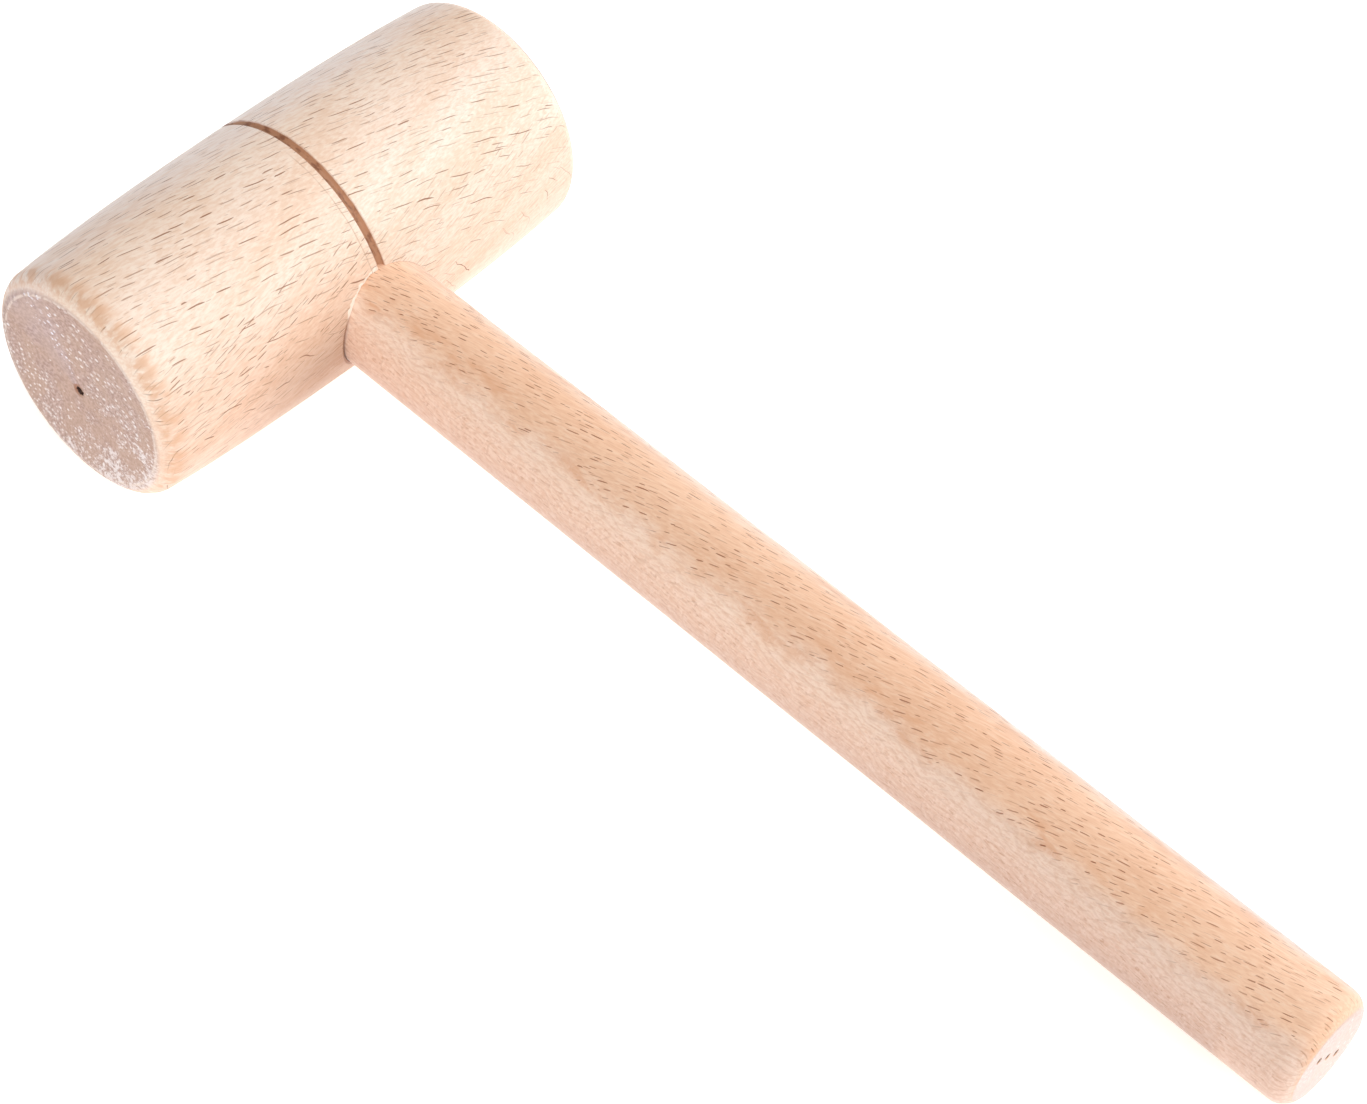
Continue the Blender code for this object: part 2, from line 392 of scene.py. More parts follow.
def make_head():
    """The turned head, bored through for the handle."""
    near, patch, far = barrel_rows()
    top = steps(-EYE_PATCH_ANGLE, EYE_PATCH_ANGLE, PATCH_COLUMNS)
    left = steps(EYE_PATCH_ANGLE, math.pi - EYE_PATCH_ANGLE, FLANK_COLUMNS)
    bottom = [math.pi - a for a in reversed(top)]
    right = [-a for a in reversed(left)]
    angles = top[:-1] + left[:-1] + bottom[:-1] + [2.0 * math.pi + a for a in right[:-1]]
    maker = MeshMaker()
    for rows in (near, far):
        maker.grid([[around(x, barrel_surface(x, a), a) for a in angles] for x in rows], True)
    for arc in (left, right):
        maker.grid([[around(x, barrel_surface(x, a), a) for a in arc] for x in patch])
    sides = eye_angles(patch, top)
    mouths = []
    for middle in (0.0, math.pi):
        rings = eye_rings(sides, middle)
        maker.grid(rings, True)
        mouths.append(rings[0])
    wall = []
    for share in steps(0.0, 1.0, BORE_ROWS):
        wall.append([tuple(Vector(a).lerp(Vector(b), share)) for a, b in zip(*mouths)])
    maker.grid(wall, True)
    for side in (-1.0, 1.0):
        x = side * HEAD_SHOULDER
        rings = [[around(x, barrel_surface(x, a), a) for a in angles]] + end_rings(side, angles)
        maker.grid(rings, True)
        maker.fan(rings[-1], (side * (HEAD_HALF - HOLE_DEPTH), 0.0, 0.0))
    return maker.build("turned_head", HEAD_CREASE)


# ---------------------------------------------------------------- handle
def handle_radius(along):
    """The handle's even radius at this distance down from the head's axis."""
    share = along / HANDLE_LENGTH
    near = HANDLE_HEAD_RADIUS * (1.0 - share) * (1.0 - 2.0 * share)
    middle = HANDLE_MIDDLE_RADIUS * 4.0 * share * (1.0 - share)
    far = HANDLE_BUTT_RADIUS * share * (2.0 * share - 1.0)
    return near + middle + far


TENON_RADIUS = handle_radius(HEAD_RADIUS)


def handle_point(along, radius, angle):
    """A point of the handle, at a distance down from the head's axis."""
    x, z = math.cos(angle), math.sin(angle)
    uneven = 0.045 * MM * wobble(x * 0.01, along, z * 0.01, 22.0 * MM)
    share = radius / handle_radius(max(along, HEAD_RADIUS))
    return ((radius + uneven * share) * x, -along, (radius + uneven * share) * z)


def tenon_top(x, z):
    """Height of the head's skin over the eye's plan."""
    return math.sqrt(barrel_radius(x) ** 2 - z * z)


def spur_depth(x, z):
    """Depth of the butt's face: three steep holes in a row, and small dents."""
    depth = 0.04 * MM * abs(wobble(x, 2.0, z, 2.5 * MM))
    for place in (-1.0, 0.0, 1.0):
        centre_x = place * SPUR_SPACING * math.cos(SPUR_ROW_ANGLE)
        centre_z = place * SPUR_SPACING * math.sin(SPUR_ROW_ANGLE)
        far = math.hypot(x - centre_x, z - centre_z) / SPUR_RADIUS
        if far < 1.0:
            depth += SPUR_DEPTH * (1.0 - far**8)
    return depth


def tenon_rings(angles):
    """Rings from near the middle of the tenon's crushed top down to the handle's root."""
    rings = []
    for share in TENON_TOP_SHARES:
        radius = TENON_RADIUS * share
        ring = []
        for a in angles:
            x, z = radius * math.cos(a), radius * math.sin(a)
            crush = 0.05 * MM * wobble(x, 4.0, z, 1.4 * MM)
            ring.append((x, tenon_top(x, z) + crush, z))
        rings.append(ring)
    side = [(TENON_RADIUS * math.cos(a), TENON_RADIUS * math.sin(a)) for a in angles]
    rings.append([(x, tenon_top(x, z) - TENON_EDGE, z) for x, z in side])
    for along in steps(-HEAD_RADIUS + TENON_INSET, HEAD_RADIUS - TENON_INSET, TENON_ROWS):
        rings.append([(x, -along, z) for x, z in side])
    return rings


def grip_rings(angles):
    """Rings from the handle's root, past its rounded end, to the middle of its butt."""
    rings = []
    for along in steps(HEAD_RADIUS - ROOT_INSET, HANDLE_SHOULDER, GRIP_ROWS):
        radius = handle_radius(max(along, HEAD_RADIUS))
        rings.append([handle_point(along, radius, a) for a in angles])
    start = handle_radius(HANDLE_SHOULDER)
    for turn in steps(0.0, HANDLE_ROUND_SWEEP, HANDLE_ROUND_ROWS)[1:]:
        along = HANDLE_SHOULDER + HANDLE_ROUND_LENGTH * math.sin(turn)
        radius = start - HANDLE_ROUND_HEIGHT * (1.0 - math.cos(turn))
        rings.append([handle_point(along, radius, a) for a in angles])
    rim = start - HANDLE_ROUND_HEIGHT * (1.0 - math.cos(HANDLE_ROUND_SWEEP))
    shares = steps(1.0, BUTT_FINE_SHARE, BUTT_ROWS) + steps(BUTT_FINE_SHARE, 0.01, BUTT_FINE_ROWS)[1:]
    for share in shares[1:]:
        ring = []
        for a in angles:
            x, z = rim * share * math.cos(a), rim * share * math.sin(a)
            ring.append((x, -(HANDLE_LENGTH - spur_depth(x, z)), z))
        rings.append(ring)
    return rings


def make_handle():
    """The turned handle, its slotted tenon and the marks of the drive centre in its butt."""
    angles = [2.0 * math.pi * i / HANDLE_COLUMNS for i in range(HANDLE_COLUMNS)]
    maker = MeshMaker()
    rings = tenon_rings(angles) + grip_rings(angles)
    maker.fan(rings[0], (0.0, tenon_top(0.0, 0.0), 0.0))
    maker.grid(rings, True)
    maker.fan(rings[-1], (0.0, -(HANDLE_LENGTH - spur_depth(0.0, 0.0)), 0.0))
    handle = maker.build("turned_handle", HANDLE_CREASE)
    slot = make_slot_cutter()
    cut = handle.modifiers.new("slot", "BOOLEAN")
    cut.operation = "DIFFERENCE"
    cut.solver = "EXACT"
    cut.object = slot
    bpy.context.view_layer.update()
    evaluated = handle.evaluated_get(bpy.context.evaluated_depsgraph_get())
    mesh = bpy.data.meshes.new_from_object(evaluated)
    handle.modifiers.clear()
    handle.data = mesh
    bpy.data.objects.remove(slot)
    smooth_shade(mesh, HANDLE_CREASE)
    return handle


def wedge_thickness(height):
    """Thickness of the wedge at a height above the head's axis."""
    share = (HEAD_RADIUS - height) / WEDGE_LENGTH
    return WEDGE_HEAD + (WEDGE_TIP - WEDGE_HEAD) * share


def make_slot_cutter():
    """The tapered slot that the wedge fills, with a little room at its sides."""
    top = HEAD_RADIUS + SLOT_OVERRUN
    bottom = HEAD_RADIUS - WEDGE_LENGTH - SLOT_OVERRUN
    side = 2.0 * TENON_RADIUS
    points = []
    for z in (-side, side):
        for height, sign in ((bottom, -1.0), (bottom, 1.0), (top, 1.0), (top, -1.0)):
            points.append((sign * (wedge_thickness(height) / 2.0 + SLOT_ROOM), height, z))
    faces = [(0, 1, 2, 3), (7, 6, 5, 4), (0, 4, 5, 1), (1, 5, 6, 2), (2, 6, 7, 3), (3, 7, 4, 0)]
    mesh = bpy.data.meshes.new("slot_cutter")
    mesh.from_pydata(points, [], faces)
    weld(mesh)
    cutter = link_new("slot_cutter", mesh)
    cutter.matrix_world = MALLET_AXES
    cutter.hide_render = True
    return cutter


# ---------------------------------------------------------------- wedge
def wedge_point(i, j, height_share):
    """A point of the wedge: i across its thickness and j across its breadth, both -1 to 1."""
    bottom = HEAD_RADIUS - WEDGE_LENGTH
    height = bottom + (HEAD_RADIUS - bottom) * height_share
    x = i * wedge_thickness(height) / 2.0
    z = j * math.sqrt(TENON_RADIUS**2 - x * x) * WEDGE_BREADTH
    if height_share >= 1.0:
        crush = 0.10 * MM * wobble(x, 8.0, z, 1.1 * MM)
        height = tenon_top(x, z) + WEDGE_PROUD + crush
    else:
        drop = HEAD_RADIUS - tenon_top(x, z)
        height -= drop * height_share
    return (x, height, z)


def wedge_ring(height_share, inset):
    """A ring around the wedge."""
    outline = [(i, -1.0) for i in steps(-1.0, 1.0, WEDGE_COLUMNS)]
    outline += [(1.0, j) for j in steps(-1.0, 1.0, WEDGE_BREADTH_COLUMNS)[1:]]
    outline += [(i, 1.0) for i in steps(1.0, -1.0, WEDGE_COLUMNS)[1:]]
    outline += [(-1.0, j) for j in steps(1.0, -1.0, WEDGE_BREADTH_COLUMNS)[1:-1]]
    return [wedge_point(i * inset, j * inset, height_share) for i, j in outline]


def wedge_cap(height_share, inset):
    """The grid that closes the wedge's top or its tip."""
    return [[wedge_point(i, j, height_share) for i in steps(-inset, inset, WEDGE_COLUMNS)]
            for j in steps(-inset, inset, WEDGE_BREADTH_COLUMNS)]


def make_wedge():
    """The hardwood wedge: sanded flush with the head, its top crushed a little by the hammer."""
    maker = MeshMaker()
    rings = [wedge_ring(share, 1.0) for share in steps(0.0, WEDGE_BEVEL, WEDGE_ROWS)]
    rings.append(wedge_ring(1.0, WEDGE_BEVEL))
    maker.grid(rings, True)
    maker.grid(wedge_cap(1.0, WEDGE_BEVEL))
    maker.grid(wedge_cap(0.0, 1.0))
    return maker.build("driven_wedge", WEDGE_CREASE)


# ---------------------------------------------------------------- materials
SHEEN_ROUGHNESS = 0.3


def srgb(red, green, blue):
    """A colour given as 0 to 255 screen values, as the shader's linear colour."""
    linear = []
    for value in (red, green, blue):
        share = value / 255.0
        linear.append(share / 12.92 if share <= 0.04045 else ((share + 0.055) / 1.055) ** 2.4)
    return (*linear, 1.0)


class Shader:
    """Adds nodes to one material and links them."""

    def __init__(self, name):
        self.material = bpy.data.materials.new(name)
        self.material.use_nodes = True
        self.tree = self.material.node_tree
        self.tree.nodes.clear()
        coordinates = self.tree.nodes.new("ShaderNodeTexCoord")
        self.place = coordinates.outputs["Object"]
        self.normal = coordinates.outputs["Normal"]

    def fill(self, socket, value):
        """Link the socket to another node's output, or set its own value."""
        if isinstance(value, bpy.types.NodeSocket):
            self.tree.links.new(value, socket)
        else:
            socket.default_value = value

    def math(self, operation, *values, clamp=False):
        node = self.tree.nodes.new("ShaderNodeMath")
        node.operation = operation
        node.use_clamp = clamp
        for socket, value in zip(node.inputs, values):
            self.fill(socket, value)
        return node.outputs[0]

    def add(self, *values):
        total = values[0]
        for value in values[1:]:
            total = self.math("ADD", total, value)
        return total

    def times(self, *values):
        total = values[0]
        for value in values[1:]:
            total = self.math("MULTIPLY", total, value)
        return total

    def less(self, a, b):
        return self.math("SUBTRACT", a, b)

    def hypot(self, a, b):
        return self.math("SQRT", self.add(self.times(a, a), self.times(b, b)))

    def within(self, share, limits):
        """The number that lies this share of the way between the two limits."""
        return self.math("MULTIPLY_ADD", share, limits[1] - limits[0], limits[0])

    def vector(self, operation, a, b=None, scale=None):
        node = self.tree.nodes.new("ShaderNodeVectorMath")
        node.operation = operation
        self.fill(node.inputs[0], a)
        if b is not None:
            self.fill(node.inputs[1], b)
        if scale is not None:
            self.fill(node.inputs["Scale"], scale)
        return node.outputs["Value" if operation == "DOT_PRODUCT" else "Vector"]

    def combine(self, x, y, z):
        node = self.tree.nodes.new("ShaderNodeCombineXYZ")
        for socket, value in zip(node.inputs, (x, y, z)):
            self.fill(socket, value)
        return node.outputs[0]

    def parts(self, vector):
        node = self.tree.nodes.new("ShaderNodeSeparateXYZ")
        self.fill(node.inputs[0], vector)
        return node.outputs

    def even(self, size):
        """Coordinates on the piece, in units of this many millimetres."""
        return self.vector("SCALE", self.place, scale=1.0 / (size * MM))

    def smooth(self, value, low, high, start=0.0, end=1.0):
        """Goes smoothly from start, where the value is low, to end, where it is high."""
        node = self.tree.nodes.new("ShaderNodeMapRange")
        node.interpolation_type = "SMOOTHSTEP"
        for name, number in (("Value", value), ("From Min", low), ("From Max", high)):
            self.fill(node.inputs[name], number)
        self.fill(node.inputs["To Min"], start)
        self.fill(node.inputs["To Max"], end)
        return node.outputs["Result"]

    def noise(self, vector, detail=2.0, roughness=0.5, distortion=0.0):
        """Lumps about as large as the vector's unit."""
        node = self.tree.nodes.new("ShaderNodeTexNoise")
        self.fill(node.inputs["Vector"], vector)
        node.inputs["Scale"].default_value = 1.0
        node.inputs["Detail"].default_value = detail
        node.inputs["Roughness"].default_value = roughness
        node.inputs["Distortion"].default_value = distortion
        return node.outputs["Fac"]

    def cells(self, vector):
        """The centre of the cell around each place, its chance numbers and the way to its centre."""
        node = self.tree.nodes.new("ShaderNodeTexVoronoi")
        self.fill(node.inputs["Vector"], vector)
        node.inputs["Scale"].default_value = 1.0
        return node.outputs["Position"], self.parts(node.outputs["Color"]), node.outputs["Distance"]

    def blend(self, factor, a, b, mode="MIX"):
        node = self.tree.nodes.new("ShaderNodeMix")
        node.data_type = "RGBA"
        node.blend_type = mode
        node.clamp_factor = True
        self.fill(node.inputs[0], factor)
        self.fill(node.inputs[6], a)
        self.fill(node.inputs[7], b)
        return node.outputs[2]

    def tint(self, factor, colour, dye):
        """The colour multiplied by a dye, by this factor."""
        return self.blend(factor, colour, self.blend(1.0, colour, dye, "MULTIPLY"))

    def finish(self, colour, roughness, height, depth, specular, sheen=0.0):
        """Add the surface itself. Returns its node."""
        surface = self.tree.nodes.new("ShaderNodeBsdfPrincipled")
        output = self.tree.nodes.new("ShaderNodeOutputMaterial")
        relief = self.tree.nodes.new("ShaderNodeBump")
        relief.inputs["Strength"].default_value = 1.0
        relief.inputs["Distance"].default_value = depth
        self.fill(relief.inputs["Height"], height)
        self.fill(surface.inputs["Base Color"], colour)
        self.fill(surface.inputs["Roughness"], roughness)
        self.fill(surface.inputs["Normal"], relief.outputs["Normal"])
        surface.inputs["Specular IOR Level"].default_value = specular
        surface.inputs["Sheen Weight"].default_value = sheen
        surface.inputs["Sheen Roughness"].default_value = SHEEN_ROUGHNESS
        self.fill(output.inputs["Surface"], surface.outputs["BSDF"])
        return surface


class Grain:
    """Position in the tree that a piece was cut from, in millimetres: along the grain,
    around the pith and out from it. The rays are thin plates that stand on the pith."""

    def __init__(self, shader, look):
        s = self.shader = shader
        fibres = Vector(look["along"]).normalized()
        pith = Vector(look["pith"])
        out = -(pith - fibres * pith.dot(fibres))
        reach = out.length
        out = out.normalized()
        side = fibres.cross(out)
        rel = s.vector("SUBTRACT", s.even(1.0), tuple(pith))
        lift = s.vector("DOT_PRODUCT", rel, tuple(out))
        across = s.vector("DOT_PRODUCT", rel, tuple(side))
        self.length = s.vector("DOT_PRODUCT", rel, tuple(fibres))
        self.radius = s.hypot(lift, across)
        self.turn = s.times(s.math("ARCTAN2", across, lift), reach)

        # How squarely the surface cuts across the grain, how flat it lies on a ray, and how
        # thin a ray looks there.
        inverse = s.math("DIVIDE", 1.0, self.radius)
        radial = s.vector(
            "ADD",
            s.vector("SCALE", tuple(out), scale=s.times(lift, inverse)),
            s.vector("SCALE", tuple(side), scale=s.times(across, inverse)),
        )
        plate = s.vector("CROSS_PRODUCT", tuple(fibres), radial)
        self.end = s.math("ABSOLUTE", s.vector("DOT_PRODUCT", s.normal, tuple(fibres)))
        self.on_ray = s.math("ABSOLUTE", s.vector("DOT_PRODUCT", s.normal, plate))
        steep = s.math("SUBTRACT", 1.0, s.times(self.on_ray, self.on_ray))
        self.squeeze = s.math("POWER", s.math("MAXIMUM", steep, 0.04), look["thin"])

        # The fibres sway widely and ripple finely.
        sway = s.less(s.noise(self.straight(16.0, 7.0, 7.0)), 0.5)
        ripple = s.less(s.noise(self.straight(3.2, 2.4, 1.1)), 0.5)
        self.wavy_turn = s.add(self.turn, s.times(sway, look["sway"]), s.times(ripple, look["ripple"]))

    def sized(self, turn, along, around, out):
        s = self.shader
        return s.combine(
            s.times(self.length, 1.0 / along), s.times(turn, 1.0 / around), s.times(self.radius, 1.0 / out)
        )

    def straight(self, along, around, out):
        """Texture coordinates whose units are these sizes in millimetres."""
        return self.sized(self.turn, along, around, out)

    def wavy(self, along, around, out):
        """The same, but they follow the sway and ripple of the fibres."""
        return self.sized(self.wavy_turn, along, around, out)


class Dashes(NamedTuple):
    """Marks of rays, in millimetres: the cell that each one lies in (along the grain, around
    and out), the limits of its half length and of its half width, the share of the cells that
    have one, a shift of the pattern, and the softness of its edge."""

    cell: tuple
    half_length: tuple
    half_width: tuple
    share: float
    shift: float
    soft: float = 0.05


def ray_marks(s, along, around, out, squeeze, dashes):
    """Rays cut across: short lens-shaped dashes. Returns how strongly each place is one."""
    place = s.combine(
        s.add(s.times(along, 1.0 / dashes.cell[0]), dashes.shift),
        s.add(s.times(around, 1.0 / dashes.cell[1]), dashes.shift * 1.7),
        s.add(s.times(out, 1.0 / dashes.cell[2]), dashes.shift * 0.6),
    )
    centre, chance, _ = s.cells(place)
    offset = s.parts(s.vector("SUBTRACT", place, centre))
    reach = s.within(chance[0], dashes.half_length)
    width = s.within(chance[1], dashes.half_width)
    ratio = s.math("DIVIDE", s.times(offset[0], dashes.cell[0]), reach)
    square = s.times(ratio, ratio)
    taper = s.math("SUBTRACT", 1.0, s.times(square, square), clamp=True)
    aside = s.math("ABSOLUTE", s.times(offset[1], dashes.cell[1]))
    edge = s.less(s.times(width, taper, squeeze), aside)
    inside = s.smooth(edge, s.times(squeeze, -dashes.soft * 0.4), s.times(squeeze, dashes.soft))
    missing = 1.0 - dashes.share
    present = s.smooth(chance[2], missing, missing + 0.03)
    strength = s.within(s.math("FRACT", s.times(chance[2], 7.31)), (0.35, 1.0))
    return s.times(inside, present, strength)


def end_grain(s, grain, look):
    """The end grain's colour: darker and greyer, with pale pores, ray ends and chalky dust. Also
    returns the pattern of its pores."""
    speck = s.noise(grain.straight(6.0, 0.55, 0.55), roughness=0.6)
    flake = s.noise(grain.straight(6.0, 1.0, 1.0), detail=4.0, roughness=0.85)
    _, chance, away = s.cells(grain.straight(6.0, 0.72, 0.72))
    cloud = s.noise(s.even(5.0))
    dust = s.times(s.less(cloud, 0.5), 0.35)
    lean = s.vector("DOT_PRODUCT", s.even(1.0), look["dust_towards"])
    size = s.times(s.smooth(s.add(chance[0], s.times(dust, 1.2)), 0.38, 0.92), 0.46)
    grit = s.times(s.smooth(s.less(size, away), -0.02, 0.10), s.within(chance[1], (0.3, 1.0)))
    smear = s.times(s.smooth(s.add(flake, dust, lean), 0.62, 0.70), 0.9)
    chalk = s.math("MINIMUM", s.add(grit, smear), 1.0)
    face = s.blend(s.smooth(speck, 0.35, 0.65), look["end_dark"], look["end_pale"])
    face = s.blend(s.smooth(cloud, 0.62, 0.38, 0.0, 0.45), face, look["end_tan"])
    return s.blend(s.times(chalk, 0.9), face, look["chalk"]), speck


def beech(name, look):
    """Bare turned beech, as a solid texture cut through by the piece's surface."""
    s = Shader(name)
    grain = Grain(s, look)

    # Year rings: wide soft bands that follow the distance from the pith.
    rings = s.noise(grain.straight(70.0, 26.0, look["band"]), roughness=0.55)
    wood = s.blend(s.smooth(rings, 0.36, 0.64), look["pale"], look["tan"])

    # Where the cut lies on the rays, the wood is paler. The edge of that stretch is wavy.
    wave_place = s.combine(s.times(grain.length, 1.0 / 7.0), s.times(grain.wavy_turn, 1.0 / 5.0), 0.0)
    wave = s.less(s.noise(wave_place, detail=1.0), 0.5)
    flatness = s.add(grain.on_ray, s.times(wave, look["wave"]))
    on_ray = s.smooth(flatness, *look["on_ray"])
    # On the handle, the darker tone where the cut lies flattest on the rays is ray figure and partly painted
    # shade on its sides.
    flat = s.blend(s.smooth(grain.on_ray, 0.74, 0.98), look["ray_face_colour"], look["ray_flat_shaded_colour"])
    wood = s.blend(s.times(on_ray, look["ray_face"]), wood, flat)

    # Fibres and pores.
    fibre = s.noise(grain.wavy(3.6, 0.34, 0.34), detail=1.0)
    pore = s.noise(grain.wavy(1.1, 0.16, 0.16), detail=1.0)
    wood = s.blend(s.smooth(fibre, 0.44, 0.66, 0.0, look["fibre"]), wood, look["fibre_colour"])
    wood = s.blend(s.smooth(fibre, 0.46, 0.30, 0.0, look["light_fibre"]), wood, look["light_colour"])
    wood = s.blend(s.smooth(pore, 0.56, 0.76, 0.0, 0.35), wood, look["fibre_colour"])

    # Fine darker streaks along the grain, where the cut lies on the rays.
    streak = s.smooth(s.noise(grain.wavy(2.8, 0.42, 0.42), detail=1.0), 0.60, 0.70)
    streak = s.times(streak, s.smooth(grain.on_ray, 0.80, 0.94), look["streak"])
    wood = s.blend(streak, wood, look["streak_colour"])

    # A wavy darker figure where the dashes give way to the flecks.
    figure = s.noise(grain.wavy(16.0, 6.0, 3.0), detail=3.0, roughness=0.6, distortion=0.6)
    beside = s.times(s.smooth(flatness, 0.30, 0.48), s.smooth(flatness, 0.80, 0.60))
    seam = s.times(s.smooth(figure, 0.48, 0.62), beside, look["seam"])
    wood = s.blend(seam, wood, look["seam_colour"])

    # The rays: curly flecks where the cut lies on them, and dark dashes elsewhere.
    fleck = s.noise(grain.wavy(0.7, 0.8, 1.3), detail=3.0, roughness=0.62, distortion=0.9)
    silver = s.times(on_ray, s.smooth(fleck, 0.50, 0.66))
    brown = s.times(on_ray, s.smooth(fleck, 0.44, 0.31))
    wood = s.blend(s.times(silver, look["silver"]), wood, look["silver_colour"])
    wood = s.blend(s.times(brown, look["silver"] * 0.5), wood, look["tan"])
    wavy_place = (grain.length, grain.wavy_turn, grain.radius, grain.squeeze)
    shown = s.times(s.smooth(on_ray, 0.35, 0.95, 1.0, look["dash_on_ray"]), s.smooth(grain.end, 0.80, 0.45))
    dash = s.times(ray_marks(s, *wavy_place, look["dashes"]), shown)
    small_dash = s.times(ray_marks(s, *wavy_place, look["small_dashes"]), shown)
    wood = s.blend(s.times(dash, look["dash"]), wood, look["dash_colour"])
    wood = s.blend(s.times(small_dash, look["small_dash"]), wood, look["dash_colour"])

    # A few small knots of darker wood, and year rings, where the cut lies on the rays.
    blotch = s.times(ray_marks(s, *wavy_place, BLOTCHES), on_ray, look["blotch"])
    wood = s.blend(blotch, wood, look["blotch_colour"])
    swirl = s.noise(s.even(9.0))
    contour = s.math("SINE", s.add(s.times(grain.radius, 5.2), s.times(swirl, 34.0)))
    contour = s.times(s.smooth(contour, 0.2, 1.0), on_ray, look["contour"])
    wood = s.blend(contour, wood, look["blotch_colour"])

    face, speck = end_grain(s, grain, look)
    end = s.smooth(grain.end, look["end_from"], look["end_to"])
    wood = s.blend(end, wood, face)
    for mark in look["marks"]:
        wood = mark(s, wood, grain)

    keep = s.math("SUBTRACT", 1.0, end, clamp=True)
    height = s.add(
        s.times(dash, keep, -0.6),
        s.times(small_dash, keep, -0.3),
        s.times(fibre, 0.16),
        s.times(pore, -0.10),
        s.times(speck, end, 0.9),
        s.times(fleck, on_ray, 0.10),
    )
    roughness = s.add(
        look["roughness"],
        s.times(s.less(fibre, 0.5), 0.14),
        s.times(dash, 0.15),
        s.times(end, 0.12),
        s.times(silver, -0.10),
    )
    s.finish(wood, roughness, height, look["relief"], look["specular"], look["sheen"])
    return s.material


# ---------------------------------------------------------------- marks on single pieces
# Each takes the wood's colour, and returns it with the mark. They work in millimetres.
def facing(s, a, b, towards):
    """How squarely a turned surface faces this way: from 1 on that side to -1 on the other."""
    return s.math("DIVIDE", s.add(s.times(a, towards[0]), s.times(b, towards[1])), s.hypot(a, b))


def painted_highlight_and_rim_light(s, wood, grain):
    """Painted highlight: the wood is paler and less saturated where the top front of the head faces the
    lights, more so on the far half. Painted rim light: paler again along the upper back edge."""
    x, y, z = s.parts(s.even(1.0))
    # Painted highlight on the top front, where the head faces the lights.
    front = s.smooth(facing(s, y, z, (-0.82, 0.57)), 0.72, 0.97)
    wood = s.tint(s.times(front, s.smooth(x, -4.0, 4.0, 0.2, 1.0)), wood, (0.985, 1.06, 1.09, 1.0))
    # Painted rim light along the upper back edge.
    return s.tint(s.smooth(facing(s, y, z, (0.71, 0.71)), 0.84, 1.0), wood, (1.03, 1.09, 1.20, 1.0))


def handle_side_tan_and_shadow(s, wood, grain):
    """The head is tanner on its side towards the handle, more so on the near half, and a painted shadow of
    the handle darkens the near half beside the handle's root.
    """
    x, y, z = s.parts(s.even(1.0))
    under = s.times(s.smooth(x, -2.0, -14.0, 0.7, 1.0), s.smooth(y, -15.0, -23.0))
    wood = s.tint(s.times(under, 0.55), wood, srgb(243, 222, 210))
    # Painted shadow of the handle on the near half, beside its root.
    handle_shadow = s.times(s.smooth(x, -40.0, -14.0), s.smooth(x, 0.0, -4.0), s.smooth(z, 12.0, -2.0))
    return s.tint(s.times(handle_shadow, s.smooth(y, -12.0, -20.0)), wood, srgb(208, 198, 190))


def front_dashes(s, wood, grain):
    """The grain curls on the head's front, so that the rays are cut across there too."""
    x, y, z = s.parts(s.even(1.0))
    stray = s.noise(s.combine(s.times(x, 0.15), 0.0, z))
    across = s.add(s.times(x, -0.232), s.times(z, 0.973), s.times(stray, 0.3))
    dash = ray_marks(s, grain.length, across, s.times(y, 0.2), 1.0, FRONT_DASHES)
    front = s.times(s.smooth(y, -14.5, -18.0), s.smooth(grain.end, 0.80, 0.60))
    front = s.times(front, s.smooth(x, 1.0, -1.0, 0.4, 0.85))
    return s.blend(s.times(dash, front), wood, HEAD_DASH_COLOUR)


def eye_edge_highlight_and_gap_shade(s, wood, grain):
    """Pale torn wood with a painted highlight on the worn part of the eye's edge, and painted shade in the
    gap on its loose part.
    """
    x, y, z = s.parts(s.even(1.0))
    eye = EYE_RADIUS / MM
    radius = s.hypot(x, z)
    lower = s.smooth(y, -15.0, -17.0)
    torn = s.noise(s.combine(s.times(x, 0.9), s.times(y, 0.5), s.times(z, 0.9)), detail=3.0)
    ragged = s.add(radius, s.times(s.less(torn, 0.5), 1.6))
    # Pale torn wood, partly a painted highlight where the worn edge catches the light.
    worn = s.times(s.smooth(ragged, eye + 0.86, eye + 0.66), s.smooth(x, 0.5, -1.5), s.smooth(z, 5.0, 6.5))
    wood = s.blend(s.times(worn, lower, 0.85), wood, srgb(255, 243, 228))
    # Painted shade in the gap between the eye and the handle.
    gap_shade = s.times(s.smooth(radius, eye + 0.76, eye + 0.46), s.smooth(x, -6.0, -8.5), s.smooth(z, 6.5, 3.5))
    return s.blend(s.times(gap_shade, lower, 0.8), wood, srgb(150, 96, 66))


def groove_burn(s, wood, grain):
    """Scorched brown in the groove, darker in patches where the fibres tore."""
    x, y, z = s.parts(s.even(1.0))
    skin = HEAD_RADIUS / MM
    half = GROOVE_HALF_WIDTH / MM
    radius = s.hypot(y, z)
    away = s.math("ABSOLUTE", s.less(x, GROOVE_X / MM))
    band = s.smooth(away, half + 0.35, half + 0.05)
    sunk = s.smooth(radius, skin - 0.10, skin - 0.34)
    outside = s.smooth(radius, skin - 2.0, skin - 1.6)
    patch = s.noise(s.combine(s.times(x, 0.8), s.times(y, 0.35), s.times(z, 0.35)), detail=3.0, roughness=0.6)
    brown = s.blend(s.smooth(patch, 0.48, 0.66), srgb(200, 150, 116), srgb(156, 106, 78))
    return s.blend(s.times(band, sunk, outside), wood, brown)


